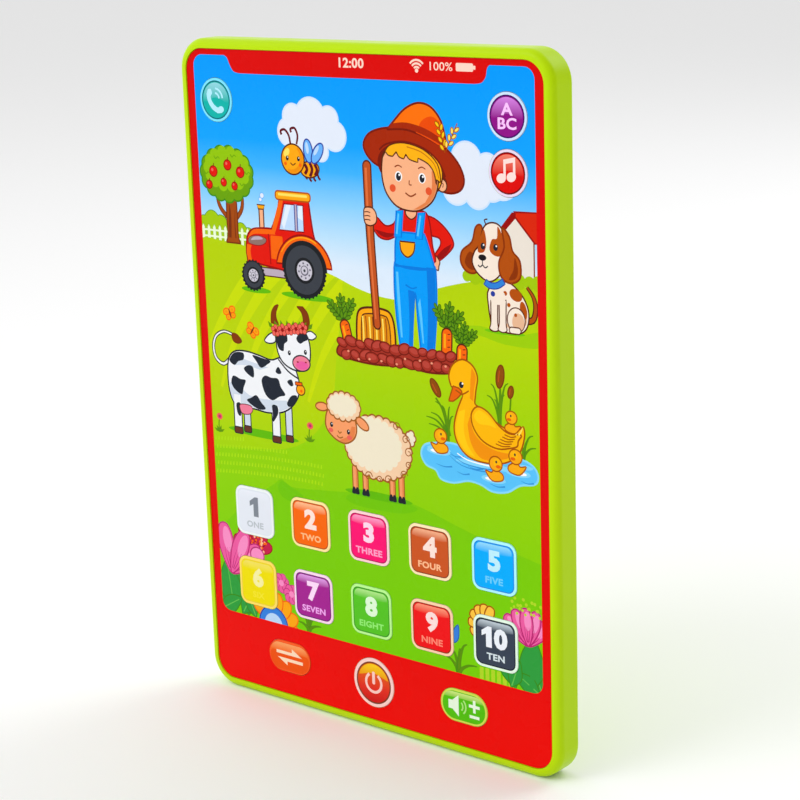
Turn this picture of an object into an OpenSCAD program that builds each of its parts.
// Kids toy tablet: a printed membrane keypad in a two-part case, with a battery bay,
// a small loudspeaker and a sound board behind it. It stands on its bottom edge, with
// X across, Z up and the printed face towards -Y. The origin is the middle of the
// footprint of its whole box, so the face lies in front of the origin.
//
// Every piece is first laid out as on a bench, face up: x across, y up the tablet and
// z = 0 at the face, with depths counted down from there. stand_up() then raises it.

/* [Case] */
// Width of the case
case_w = 160; // [158:1:166]
// Height of the case
case_h = 240; // [238:1:248]
// Depth of the case at its side walls
case_t = 11.2; // [11.2:0.1:11.8]
// Radius of the case's four corners
case_r = 11; // [10:0.5:13]
// Thickness of the case's walls
wall = 1.8; // [1.6:0.1:2.0]
// Width of the rim around the printed sheet
rim_w = 3.5; // [3:0.1:4]

/* [Keys] */
// Side of a number key
key_w = 18.3; // [16:0.1:18.5]
// Distance between neighbouring number keys
key_pitch = 27; // [24:0.5:28]
// How far a key travels when pressed
key_travel = 0.35; // [0.2:0.05:0.4]
// Gap around each key in the printed sheet
key_gap = 0.15; // [0.1:0.05:0.25]

/* [Battery bay and speaker] */
// Depth of the raised back that holds the cells and the speaker
hump_t = 5.6; // [5.6:0.1:6.4]
// Radius of one cell
cell_r = 5.25; // [5:0.05:5.25]
// Radius of the speaker
speaker_r = 14; // [13:0.5:14.5]

/* [Hidden] */
$fn = 64;

// Depths behind the face, from the front to the back
film_d = 0.4;
film_t = 0.25;
spacer_t = key_travel + 0.1;
circuit_t = 0.15;
key_proud = 0.25;
key_edge_r = 0.2;
spacer_d = film_d + film_t;
top_circuit_d = spacer_d + spacer_t;
contact_spacer_d = top_circuit_d + circuit_t;
bottom_circuit_d = contact_spacer_d + circuit_t;
recess_d = bottom_circuit_d + circuit_t;
plate_t = 1.55;
plate_back_d = recess_d + plate_t;
seam_d = case_t - wall;
total_t = case_t + hump_t;
hump_inner_d = total_t - wall;

// Case
front_edge_r = 2.6;
back_edge_r = 1.5;
hump_w = 128;
hump_h = 62;
hump_r = 10;
hump_edge_r = 2.5;
hump_y = 170;
lip_t = 1;
lip_h = 1.5;
fit_gap = 0.1;
film_gap = 0.15;
join = 0.2;
past = 1;

// Case screws: pairs at the two ends and half way up
case_screw_x = case_w/2 - 9.5;
case_screw_y = [12, case_h/2, case_h - 12];
post_r = 3;
post_end_d = 8;
case_shank_r = 1.2;
case_shank_d = 3.7;
case_head_r = 2.3;
case_head_h = 1.4;
case_head_d = 9.6;
screw_clearance = 0.05;

// Keys
key_r = 2.9;
number_top_y = 71;
number_x = [for (i = [0:4]) (i - 2)*key_pitch];
// Round and oblong keys: name, x, y, width, height
icon_keys = [
    ["phone", -62.7, 219, 15.2, 15.2],
    ["letters", 62.5, 219, 15.2, 15.2],
    ["music", 62.5, 201.4, 15, 15],
    ["mode", -40, 18, 20, 11.8],
    ["power", 0, 17.5, 18.2, 18.2],
    ["volume", 40, 18, 20, 11.8]
];
contact_window_r = 5;
stiffener_y = [30, 60, 90, 216];
stiffener_l = 122;
stiffener_w = 1.2;
stiffener_h = 2;
// Middles of the pictures that have a contact under them but no key of their own
picture_contacts = [[-59, 190], [-34, 168], [-27, 201], [24, 170], [58, 172], [-38, 122], [2, 106], [46, 118]];

// Battery bay and its door
bay_x = -24;
bay_y = hump_y;
bay_w = 52;
bay_h = 34;
bay_wall = 1.2;
bay_floor_d = plate_back_d + 0.15;
bay_floor_t = 1;
cell_pitch = 11.3;
cell_d = bay_floor_d + bay_floor_t + 0.1 + cell_r;
cell_body = 43.7;
nub_r = 1.9;
nub_h = 0.8;
cell_l = cell_body + nub_h;
rib_w = 0.8;
rib_far_d = 7;
door_w = 59.5;
door_t = 1.7;
door_gap = 0.25;
door_far_d = total_t;
hinge_d = door_far_d - door_t;
hinge_y = hump_y - 20.7;
door_h = 47.2;
door_r = 2;
pin_r = 1;
pin_l = 1.7;
pin_clearance = 0.05;
ledge_t = 1.15;
ledge_d = hinge_d - 0.05;
lug_w = 2.9;
lug_t = 2.15;
barrel_room = 0.35;
door_screw_y = 42.9;
door_boss_r = 3.5;
door_boss_t = 1.2;
boss_room = 0.4;
cup_r = 5;
cup_near_d = 12.4;
door_shank_r = 1.1;
door_shank_near_d = 10.8;
door_hole_r = 1.3;
door_pilot_r = 1.4;
door_pilot_near_d = 9.6;
door_head_r = 2.1;
door_head_h = 1.3;
door_counterbore_d = 15.3;
recess_w = 0.6;
recess_h = 0.7;

// Cell contacts
contact_w = 8;
contact_t = 0.4;
dimple_r = 1.6;
spring_base_r = 3.6;
spring_tip_r = 2.2;
spring_wire = 0.6;
spring_l = bay_w - 2*contact_t - cell_l - 1.3;
dimple_h = 1.3;

// Sound board
board_w = 56;
board_h = 32;
board_t = 1;
board_y = 112;
board_d = 4.3;
board_back_d = board_d + board_t;
board_post_r = 2.5;
board_post_x = 24;
board_post_y = 12;
board_shank_r = 0.9;
board_shank_near_d = 2.3;
board_head_r = 1.8;
board_head_h = 1.1;
tail_w = 20;
tail_y = 134;
tail_turn_d = 6.45;
tail_end_y = 125;
connector_w = 24;
connector_h = 4.5;
connector_t = 2;
connector_y = 123.5;

// Speaker
speaker_x = 36;
speaker_y = hump_y;
flange_w = 2.1;
gasket_t = 0.8;
flange_t = 0.6;
flange_d = hump_inner_d - gasket_t - flange_t;
basket_d = 10.9;
basket_t = 0.5;
magnet_r = 7;
magnet_t = 3;
cone_t = 0.3;
cone_d = flange_d + 0.45;
cone_depth = 1.4;
cone_travel = 0.3;
coil_r = 3.6;
coil_t = 0.3;
collar_t = 1.2;
collar_near_d = 11.5;
grille_hole_r = 0.9;

// Leads: routes are x, y and depth, from the part they leave to the board
lead_r = 0.6;
lead_sides = 8;
negative_route = [
    [-50, 158.7, 6.5], [-53, 158.7, 6.5], [-54.5, 155, 6.5], [-54.5, 146, 6.5], [-50, 139.5, 6.5],
    [-44, 136, 6.5], [-26, 131.5, 6.5], [-20.5, 129.5, 6.5], [-19.5, 127, 6.5], [-19.5, 125, 6.2],
    [-19.5, 124.5, board_back_d]
];
positive_route = [
    [2, 181.3, 6.5], [5, 181.3, 6.5], [6.5, 179, 6.5], [6.5, 150, 6.5], [3.5, 143.5, 6.5],
    [-8, 138.5, 6.5], [-14, 134, 6.5], [-16, 130, 6.5], [-16, 127, 6.5], [-16, 125, 6.2],
    [-16, 124.5, board_back_d]
];
speaker_route = [
    [26.8, 160.8, flange_d], [26.8, 160.8, 10.5], [26, 158, 8.4], [22, 150, 7], [16, 138, 6.8],
    [14.2, 132, 6.8], [14, 127, 6.6], [14, 125, 6.2], [14, 124.5, board_back_d]
];
second_lead_shift = [2.5, -1.8, 0];

CASE_GREEN = [0.72, 0.9, 0.05];
SHEET_RED = [0.88, 0.05, 0.05];
STEEL = "silver";
CLEAR_FILM = [0.85, 0.88, 0.9];
KEY_COLOURS = [
    [0.95, 0.95, 0.96], [0.98, 0.5, 0.1], [0.95, 0.15, 0.5], [0.72, 0.32, 0.12], [0.1, 0.65, 0.95],
    [0.97, 0.87, 0.1], [0.55, 0.15, 0.6], [0.3, 0.75, 0.3], [0.9, 0.15, 0.15], [0.15, 0.2, 0.25]
];
ICON_COLOURS = [
    [0.05, 0.65, 0.65], [0.55, 0.1, 0.6], [0.85, 0.1, 0.1], [0.98, 0.45, 0.1], [0.85, 0.1, 0.1],
    [0.3, 0.7, 0.1]
];

// ---------------------------------------------------------------- building blocks

// Raises a piece laid out face up
module stand_up() {
    translate([0, -total_t/2, 0]) rotate([90, 0, 0]) children();
}

// Fills an outline between two depths
module slab(near, far) {
    translate([0, 0, -far]) linear_extrude(far - near) children();
}

module round_rect(w, h, r) {
    square([w - 2*r, h], center = true);
    square([w, h - 2*r], center = true);
    for (x = [-1, 1], y = [-1, 1]) translate([x*(w/2 - r), y*(h/2 - r)]) circle(r);
}

// The part of a square corner that lies outside its rounding
module corner_waste(r) {
    difference() {
        square(r + past);
        circle(r);
    }
}

// Half section of a block from its corner's middle outward, with rounded edges
module edge_profile(r, depth, near_r, far_r) {
    difference() {
        translate([0, -depth]) square([r, depth]);
        if (near_r > 0) translate([r - near_r, -near_r]) corner_waste(near_r);
        if (far_r > 0) translate([r - far_r, far_r - depth]) mirror([0, 1]) corner_waste(far_r);
    }
}

// A block with a rounded-rectangle plan, rounded along its near and far edges
module soft_block(w, h, r, depth, near_r, far_r) {
    translate([-w/2 + r, -h/2 + r, -depth]) cube([w - 2*r, h - 2*r, depth]);
    for (turn = [0, 90, 180, 270]) {
        across = turn % 180 == 0 ? w : h;
        along = turn % 180 == 0 ? h : w;
        rotate(turn) translate([across/2 - r, along/2 - r, 0]) {
            rotate_extrude(angle = 90) edge_profile(r, depth, near_r, far_r);
            rotate([90, 0, 0]) linear_extrude(along - 2*r) edge_profile(r, depth, near_r, far_r);
        }
    }
}

// The case's outline, drawn in from its edge
module case_outline(inset) {
    translate([0, case_h/2]) round_rect(case_w - 2*inset, case_h - 2*inset, case_r - inset);
}

// A ring whose outer and inner radii are given
module ring(outer, inner) {
    difference() {
        circle(outer);
        circle(inner);
    }
}

// ---------------------------------------------------------------- case

module case_screw_places() {
    for (x = [-case_screw_x, case_screw_x], y = case_screw_y) translate([x, y]) children();
}

module board_screw_places() {
    for (x = [-board_post_x, board_post_x], y = [-board_post_y, board_post_y])
        translate([x, board_y + y]) children();
}

module front_shell() {
    color(CASE_GREEN) stand_up() difference() {
        union() {
            difference() {
                translate([0, case_h/2, 0]) soft_block(case_w, case_h, case_r, seam_d, front_edge_r, 0);
                slab(-past, recess_d) case_outline(rim_w - film_gap);
                slab(plate_back_d, seam_d + past) case_outline(wall);
            }
            slab(plate_back_d - join, post_end_d) case_screw_places() circle(post_r);
            slab(plate_back_d - join, board_d) board_screw_places() circle(board_post_r);
            for (y = stiffener_y) slab(plate_back_d - join, plate_back_d + stiffener_h)
                translate([0, y]) square([stiffener_l, stiffener_w], center = true);
        }
        slab(case_shank_d - 0.3, post_end_d + past) case_screw_places() circle(case_shank_r + screw_clearance);
        slab(board_shank_near_d - 0.2, board_d + past)
            board_screw_places() circle(board_shank_r + screw_clearance);
        slab(0, plate_back_d + past)
            translate([0, tail_y + 0.1]) square([tail_w + 1, 1.8], center = true);
    }
}

// Lays children out from the bay's middle
module at_bay() {
    translate([bay_x, bay_y, 0]) children();
}

// Lays children out from the middle of the door's hinge line
module at_hinge() {
    translate([bay_x, hinge_y, 0]) children();
}

// The door's outline, from its hinge line up, grown by a gap; its hinge end is square so that it can swing
module door_outline(gap) {
    bottom = -door_t - gap;
    top = door_h + gap;
    translate([0, (top + bottom)/2]) round_rect(door_w + 2*gap, top - bottom, door_r);
    translate([0, bottom + door_r]) square([door_w + 2*gap, 2*door_r], center = true);
}

module battery_bay() {
    at_bay() {
        slab(bay_floor_d, ledge_d) difference() {
            square([bay_w + 2*bay_wall, bay_h + 2*bay_wall], center = true);
            square([bay_w, bay_h], center = true);
        }
        slab(bay_floor_d, bay_floor_d + bay_floor_t)
            square([bay_w + bay_wall, bay_h + bay_wall], center = true);
        for (y = [-cell_pitch/2, cell_pitch/2])
            slab(bay_floor_d + bay_floor_t - join, rib_far_d) translate([0, y]) square([24, rib_w], center = true);
    }
    at_hinge() slab(ledge_d - ledge_t, ledge_d + past) difference() {
        door_outline(door_gap + 1);
        translate([0, bay_y - hinge_y]) square([bay_w, bay_h], center = true);
    }
}

module hinge_lugs() {
    at_hinge() for (side = [-1, 1])
        slab(hinge_d - lug_t, hinge_d + 0.4)
            translate([side*(door_w/2 + door_gap + lug_w/2), 0.1]) square([lug_w, 4.8], center = true);
}

module door_screw_socket() {
    at_hinge() translate([0, door_screw_y, 0]) {
        slab(cup_near_d, ledge_d + 0.4) circle(cup_r);
        slab(door_pilot_near_d - 0.6, cup_near_d + join) circle(post_r);
    }
}

module speaker_collar() {
    translate([speaker_x, speaker_y, 0])
        slab(collar_near_d, hump_inner_d + join) ring(speaker_r + 0.3 + collar_t, speaker_r + 0.3);
}

module grille_holes() {
    translate([speaker_x, speaker_y, 0]) slab(hump_inner_d - past, total_t + past)
        for (row = [0:3], i = [0:max(0, 6*row - 1)])
            rotate(360/max(1, 6*row)*i) translate([3.4*row, 0]) circle(grille_hole_r);
}

module rear_shell() {
    color(CASE_GREEN) stand_up() difference() {
        union() {
            difference() {
                union() {
                    translate([0, case_h/2, -seam_d]) soft_block(case_w, case_h, case_r, wall, 0, back_edge_r);
                    translate([0, hump_y, -seam_d])
                        soft_block(hump_w, hump_h, hump_r, total_t - seam_d, 0, hump_edge_r);
                }
                slab(seam_d - past, hump_inner_d)
                    translate([0, hump_y]) round_rect(hump_w - 2*wall, hump_h - 2*wall, hump_r - wall);
            }
            slab(seam_d - lip_h, seam_d + join) difference() {
                case_outline(wall + fit_gap);
                case_outline(wall + fit_gap + lip_t);
            }
            slab(post_end_d + screw_clearance, seam_d + join) case_screw_places() circle(post_r);
            battery_bay();
            hinge_lugs();
            door_screw_socket();
            speaker_collar();
        }
        slab(seam_d - 2, case_t + past) case_screw_places() circle(case_shank_r + 0.2);
        slab(case_head_d, case_t + past) case_screw_places() circle(case_head_r + 0.2);
        at_bay() slab(hump_inner_d - past, ledge_d + past) square([bay_w, bay_h], center = true);
        at_hinge() {
            slab(ledge_d, total_t + past) door_outline(door_gap);
            slab(hinge_d - door_t - barrel_room, ledge_d + join)
                square([door_w + 2*door_gap, 2*(door_t + barrel_room)], center = true);
            translate([0, 0, -hinge_d]) rotate([0, 90, 0])
                cylinder(r = pin_r + pin_clearance, h = door_w + 2*(pin_l + door_gap), center = true);
            translate([0, door_screw_y, 0]) {
                slab(ledge_d - ledge_t - 0.2, ledge_d + past) circle(door_boss_r + boss_room);
                slab(door_pilot_near_d, ledge_d) circle(door_pilot_r);
            }
        }
        for (end = [[negative_route[0], -1], [positive_route[0], 1]])
            translate([end[0][0] - end[1]*0.5, end[0][1], -end[0][2]]) rotate([0, end[1]*90, 0])
                cylinder(r = lead_r + 0.15, h = bay_wall + 1);
        grille_holes();
    }
}

// A screw with its head's top at far: shank_near to far, with a cross recess
module cross_screw(shank_near, far, shank_r, head_r, head_h) {
    difference() {
        union() {
            slab(shank_near, far - head_h + join) circle(shank_r);
            slab(far - head_h, far) circle(head_r);
        }
        slab(far - recess_h, far + past) for (turn = [0, 90])
            rotate(turn) square([1.3*head_r, recess_w], center = true);
    }
}

module case_screws() {
    color(STEEL) stand_up() case_screw_places()
        cross_screw(case_shank_d, case_head_d + case_head_h, case_shank_r, case_head_r, case_head_h);
}

// ---------------------------------------------------------------- membrane keypad

// Outlines of all the keys, each grown by a gap
module key_windows(gap) {
    for (x = number_x, row = [0, 1]) translate([x, number_top_y - row*key_pitch])
        round_rect(key_w + 2*gap, key_w + 2*gap, key_r + gap);
    for (icon = icon_keys) translate([icon[1], icon[2]]) pill(icon[3] + 2*gap, icon[4] + 2*gap);
}

// A circle, or an outline with round ends when it is wider than high
module pill(w, h) {
    square([w - h + 0.001, h], center = true);
    for (side = [-1, 1]) translate([side*(w - h)/2, 0]) circle(h/2);
}

module printed_overlay() {
    color(SHEET_RED) stand_up() slab(film_d, film_d + film_t) difference() {
        case_outline(rim_w);
        key_windows(key_gap);
    }
}

module overlay_spacer() {
    color("white") stand_up() slab(spacer_d, spacer_d + spacer_t) difference() {
        case_outline(rim_w);
        key_windows(key_gap);
    }
}

module top_circuit_film() {
    color(CLEAR_FILM) stand_up() slab(top_circuit_d, top_circuit_d + circuit_t) case_outline(rim_w);
}

module contact_spacer() {
    color("white") stand_up() slab(contact_spacer_d, contact_spacer_d + circuit_t) difference() {
        case_outline(rim_w);
        for (x = number_x, row = [0, 1]) translate([x, number_top_y - row*key_pitch]) circle(contact_window_r);
        for (icon = icon_keys) translate([icon[1], icon[2]]) circle(contact_window_r);
        for (place = picture_contacts) translate(place) circle(contact_window_r);
    }
}

// The lower circuit, with the tail that runs through the front shell to the board
module bottom_circuit_film() {
    tail_back_d = tail_turn_d + circuit_t;
    color(CLEAR_FILM) stand_up() {
        slab(bottom_circuit_d, bottom_circuit_d + circuit_t) case_outline(rim_w);
        translate([-tail_w/2, tail_y, -tail_back_d]) cube([tail_w, circuit_t, tail_back_d - bottom_circuit_d]);
        translate([-tail_w/2, tail_end_y, -tail_back_d])
            cube([tail_w, tail_y + circuit_t - tail_end_y, circuit_t]);
    }
}

module number_key(n) {
    row = n > 5 ? 1 : 0;
    x = number_x[(n - 1) % 5];
    color(KEY_COLOURS[n - 1]) stand_up() translate([x, number_top_y - row*key_pitch, key_proud - film_d])
        soft_block(key_w, key_w, key_r, film_t + key_proud, key_edge_r, 0);
}

module icon_key(i) {
    w = icon_keys[i][3];
    h = icon_keys[i][4];
    color(ICON_COLOURS[i]) stand_up() translate([icon_keys[i][1], icon_keys[i][2], 0]) {
        slab(film_d - key_proud + key_edge_r, film_d + film_t) pill(w, h);
        slab(film_d - key_proud, film_d + film_t) pill(w - 2*key_edge_r, h - 2*key_edge_r);
    }
}

// ---------------------------------------------------------------- battery bay pieces

module battery_door() {
    color(CASE_GREEN) stand_up() at_hinge() difference() {
        union() {
            intersection() {
                translate([-door_w/2, 0, -hinge_d]) rotate([90, 0, 90]) linear_extrude(door_w) {
                    circle(door_t);
                    translate([0, -door_t]) square([door_h, door_t]);
                }
                slab(0, total_t + past) door_outline(0);
            }
            translate([0, 0, -hinge_d]) rotate([0, 90, 0]) cylinder(r = pin_r, h = door_w + 2*pin_l, center = true);
            translate([0, door_screw_y, 0]) slab(hinge_d - door_boss_t, hinge_d + join) circle(door_boss_r);
        }
        translate([0, door_screw_y, 0]) {
            slab(0, total_t + past) circle(door_hole_r);
            slab(door_counterbore_d, total_t + past) circle(door_head_r + 0.2);
        }
    }
}

module door_screw() {
    head_far_d = door_counterbore_d + 0.05 + door_head_h;
    color(STEEL) stand_up() at_hinge() translate([0, door_screw_y, 0])
        cross_screw(door_shank_near_d, head_far_d, door_shank_r, door_head_r, door_head_h);
}

// A cell in the given row, 0 at the bottom; its nub points to x times facing
module battery(row, facing) {
    spring_end = bay_w/2 - contact_t - spring_l;
    color([0.12, 0.35, 0.2]) stand_up() at_bay() translate([0, (row - 1)*cell_pitch, -cell_d])
        rotate([0, facing*90, 0]) translate([0, 0, -spring_end]) {
            cylinder(r = cell_r, h = cell_body);
            cylinder(r = nub_r, h = cell_l);
        }
}

// Lays children out on a bay end, side -1 left or 1 right, with z into the bay
module at_bay_end(side, row) {
    at_bay() translate([side*bay_w/2, (row - 1)*cell_pitch, -cell_d]) rotate([0, -side*90, 0]) children();
}

// A plate that spans some rows
module contact_plate(side, first_row, last_row) {
    span = (last_row - first_row)*cell_pitch;
    at_bay_end(side, first_row) translate([-contact_w/2, -contact_w/2, 0])
        cube([contact_w, contact_w + span, contact_t]);
}

module contact_spring(side, row) {
    at_bay_end(side, row) translate([0, 0, contact_t]) rotate_extrude() polygon([
        [spring_base_r, 0], [spring_tip_r, spring_l],
        [spring_tip_r - spring_wire, spring_l], [spring_base_r - spring_wire, 0]
    ]);
}

module contact_dimple(side, row) {
    at_bay_end(side, row) cylinder(r = dimple_r, h = contact_t + dimple_h);
}

module negative_contact() {
    color(STEEL) stand_up() {
        contact_plate(-1, 0, 0);
        contact_spring(-1, 0);
    }
}

module left_bridge_contact() {
    color(STEEL) stand_up() {
        contact_plate(-1, 1, 2);
        contact_dimple(-1, 1);
        contact_spring(-1, 2);
    }
}

module right_bridge_contact() {
    color(STEEL) stand_up() {
        contact_plate(1, 0, 1);
        contact_dimple(1, 0);
        contact_spring(1, 1);
    }
}

module positive_contact() {
    color(STEEL) stand_up() {
        contact_plate(1, 2, 2);
        contact_dimple(1, 2);
    }
}

// ---------------------------------------------------------------- sound board

module main_board() {
    color([0.1, 0.45, 0.2]) stand_up() slab(board_d, board_back_d) difference() {
        translate([0, board_y]) square([board_w, board_h], center = true);
        board_screw_places() circle(board_shank_r + 0.2);
    }
}

module board_screws() {
    color(STEEL) stand_up() board_screw_places()
        cross_screw(board_shank_near_d, board_back_d + board_head_h, board_shank_r, board_head_r, board_head_h);
}

// The chip under its drop of black resin
module sound_chip() {
    dome_r = 5.5;
    dome_h = 1.3;
    ball_r = (dome_r*dome_r + dome_h*dome_h)/(2*dome_h);
    color("black") stand_up() translate([0, 108, -board_back_d]) rotate([180, 0, 0]) rotate_extrude()
        intersection() {
            square([dome_r + 1, dome_h]);
            translate([0, dome_h - ball_r]) circle(ball_r, $fn = 360);
        }
}

module amplifier_chip() {
    color("black") stand_up() translate([15, 106]) {
        slab(board_back_d + 0.1, board_back_d + 1.5) square([5, 4], center = true);
        for (x = [-1.9, -0.65, 0.65, 1.9])
            slab(board_back_d, board_back_d + 0.6) translate([x, 0]) square([0.45, 6], center = true);
    }
}

module capacitors() {
    can_r = 1.8;
    can_l = 7;
    color([0.1, 0.12, 0.3]) stand_up() for (y = [102, 107])
        translate([-20, y, -board_back_d - can_r]) rotate([0, 90, 0]) cylinder(r = can_r, h = can_l);
}

module small_components() {
    color([0.75, 0.65, 0.5]) stand_up() for (i = [0:7])
        slab(board_back_d, board_back_d + 0.6) translate([-10.5 + 3*i, 98.5]) square([1, 1.8], center = true);
}

module tail_connector() {
    color("white") stand_up() difference() {
        slab(board_back_d, board_back_d + connector_t)
            translate([-connector_w/2, connector_y]) square([connector_w, connector_h]);
        slab(tail_turn_d - 0.05, tail_turn_d + circuit_t + 0.05)
            translate([-tail_w/2 - 0.2, tail_end_y - 0.2]) square([tail_w + 0.4, connector_h]);
    }
}

// ---------------------------------------------------------------- speaker

module at_speaker() {
    translate([speaker_x, speaker_y, 0]) children();
}

// Turns a half section of radius and depth points around the speaker's axis
module turned(points) {
    rotate_extrude() polygon([for (p = points) [p[0], -p[1]]]);
}

module speaker_frame() {
    inner_r = speaker_r - flange_w;
    back_r = magnet_r + 0.2;
    color(STEEL) stand_up() at_speaker() turned([
        [inner_r, flange_d + flange_t], [speaker_r, flange_d + flange_t], [speaker_r, flange_d],
        [inner_r + 0.6, flange_d], [back_r, basket_d], [coil_r + 0.6, basket_d],
        [coil_r + 0.6, basket_d + basket_t], [back_r - 0.2, basket_d + basket_t], [inner_r, flange_d]
    ]);
}

module speaker_magnet() {
    color([0.35, 0.35, 0.38]) stand_up() at_speaker() slab(basket_d - magnet_t, basket_d) circle(magnet_r);
}

// The cone, with the roll round its edge and the dust cap in its middle
module speaker_cone() {
    outer_r = speaker_r - flange_w - 0.6;
    roll_h = 0.35;
    foot_r = coil_r + 0.8;
    cap_r = coil_r - 1;
    color([0.2, 0.2, 0.22]) stand_up() at_speaker() turned([
        [outer_r, cone_d - cone_t], [outer_r, cone_d], [outer_r - 1, cone_d + roll_h], [outer_r - 2, cone_d],
        [foot_r, cone_d - cone_depth + cone_t], [cap_r, cone_d - 0.6], [0, cone_d - 0.3],
        [0, cone_d - 0.3 - cone_t], [cap_r, cone_d - 0.6 - cone_t], [foot_r, cone_d - cone_depth],
        [outer_r - 2, cone_d - cone_t], [outer_r - 1, cone_d + roll_h - cone_t]
    ]);
}

module voice_coil() {
    color([0.75, 0.4, 0.15]) stand_up() at_speaker()
        slab(basket_d + cone_travel + 0.1, cone_d - 1.18) ring(coil_r, coil_r - coil_t);
}

module speaker_gasket() {
    color([0.15, 0.15, 0.15]) stand_up() at_speaker()
        slab(hump_inner_d - gasket_t, hump_inner_d) ring(speaker_r, speaker_r - flange_w);
}

// ---------------------------------------------------------------- leads

function unit(v) = v/norm(v);

// A ring of points around p, square to the direction t
function lead_ring(p, t) =
    let (u = unit(cross(t, [0.3, 0.2, 1])), v = cross(u, t))
    [for (i = [0:lead_sides - 1]) p + lead_r*(cos(360*i/lead_sides)*u + sin(360*i/lead_sides)*v)];

// A round lead along a route of x, y and depth points
module lead(route) {
    path = [for (p = route) [p[0], p[1], -p[2]]];
    last = len(path) - 1;
    directions = [for (i = [0:last])
        unit((i < last ? unit(path[i + 1] - path[i]) : [0, 0, 0]) + (i > 0 ? unit(path[i] - path[i - 1]) : [0, 0, 0]))];
    points = [for (i = [0:last]) each lead_ring(path[i], i == last ? [0, 0, 1] : directions[i])];
    polyhedron(points, [
        [for (i = [0:lead_sides - 1]) i],
        [for (i = [lead_sides - 1:-1:0]) last*lead_sides + i],
        for (k = [0:last - 1], i = [0:lead_sides - 1])
            let (a = k*lead_sides + i, b = k*lead_sides + (i + 1) % lead_sides)
            [a, a + lead_sides, b + lead_sides, b]
    ]);
}

module negative_lead() {
    color("black") stand_up() lead(negative_route);
}

module positive_lead() {
    color("red") stand_up() lead(positive_route);
}

module speaker_leads() {
    color("gold") stand_up() {
        lead(speaker_route);
        last = len(speaker_route) - 1;
        lead([for (i = [0:last]) speaker_route[i] + (i < last - 1 ? second_lead_shift : [2.5, 0, 0])]);
    }
}

front_shell();
rear_shell();
case_screws();
printed_overlay();
overlay_spacer();
top_circuit_film();
contact_spacer();
bottom_circuit_film();
number_key(1);  // key_1
number_key(2);  // key_2
number_key(3);  // key_3
number_key(4);  // key_4
number_key(5);  // key_5
number_key(6);  // key_6
number_key(7);  // key_7
number_key(8);  // key_8
number_key(9);  // key_9
number_key(10);  // key_10
icon_key(0);  // key_phone
icon_key(1);  // key_letters
icon_key(2);  // key_music
icon_key(3);  // key_mode
icon_key(4);  // key_power
icon_key(5);  // key_volume
battery_door();
door_screw();
battery(0, 1);  // battery_lower
battery(1, -1);  // battery_middle
battery(2, 1);  // battery_upper
negative_contact();
left_bridge_contact();
right_bridge_contact();
positive_contact();
main_board();
board_screws();
sound_chip();
amplifier_chip();
capacitors();
small_components();
tail_connector();
speaker_frame();
speaker_magnet();
speaker_cone();
voice_coil();
speaker_gasket();
negative_lead();
positive_lead();
speaker_leads();
